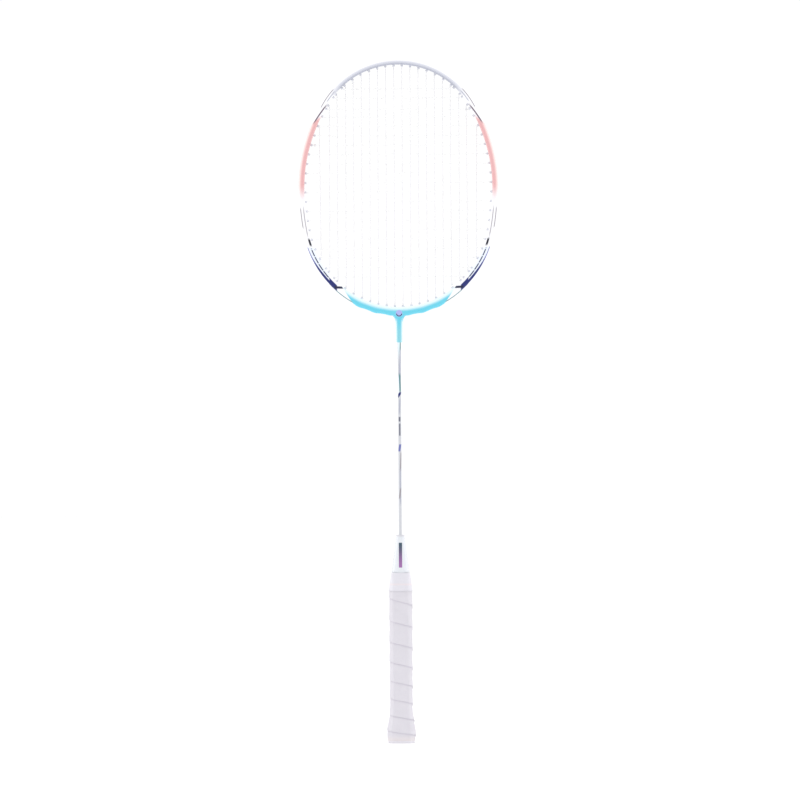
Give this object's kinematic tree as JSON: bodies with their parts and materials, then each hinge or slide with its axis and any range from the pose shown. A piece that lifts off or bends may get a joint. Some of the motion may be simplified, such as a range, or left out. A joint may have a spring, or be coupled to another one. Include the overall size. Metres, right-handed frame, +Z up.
{
  "type": "badminton racket",
  "caption": "Badminton racket: slim oval strung hoop on a thin round shaft, with a cone cap and a flared handle wound in a spiral strip grip.",
  "frame": {"origin": "middle of the butt's lowest face", "axes": "+Z up the shaft to the crown of the hoop, string bed in the XZ plane, front face towards -Y"},
  "size_m": [0.197, 0.0272, 0.675],
  "materials": {
    "hoop_paint": "glossy multi-colour lacquer over carbon fibre",
    "throat_paint": "glossy cyan lacquer",
    "shaft_paint": "glossy white lacquer, cyan at its top end",
    "core_composite": "moulded composite",
    "cone_plastic": "glossy white plastic",
    "ring_plastic": "satin grey plastic",
    "wood": "sanded pale wood",
    "cap_plastic": "moulded white plastic",
    "disc_plastic": null,
    "grip_pu": "soft matt polyurethane strip",
    "band_tape": "smooth finishing tape",
    "tack_steel": "plain steel",
    "string_nylon": "smooth white nylon string",
    "grommet_nylon": "milky translucent nylon"
  },
  "bodies": {
    "root": {"head_frame": "hoop_paint", "throat_t_core": "core_composite", "throat_fairing": "throat_paint", "shaft": "shaft_paint", "cone_cap": "cone_plastic", "cone_ring": "ring_plastic", "handle_core": "wood", "butt_cap": "cap_plastic", "butt_disc": "disc_plastic", "grip_wrap": "grip_pu", "grip_tack": "tack_steel", "grip_band": "band_tape", "main_string": "string_nylon", "cross_string": "string_nylon", "main_knots": "string_nylon", "cross_knots": "string_nylon", "grommets_crown": "grommet_nylon", "grommets_throat": "grommet_nylon", "grommets_left": "grommet_nylon", "grommets_right": "grommet_nylon", "shared_grommets": "grommet_nylon"}
  },
  "joints": []
}
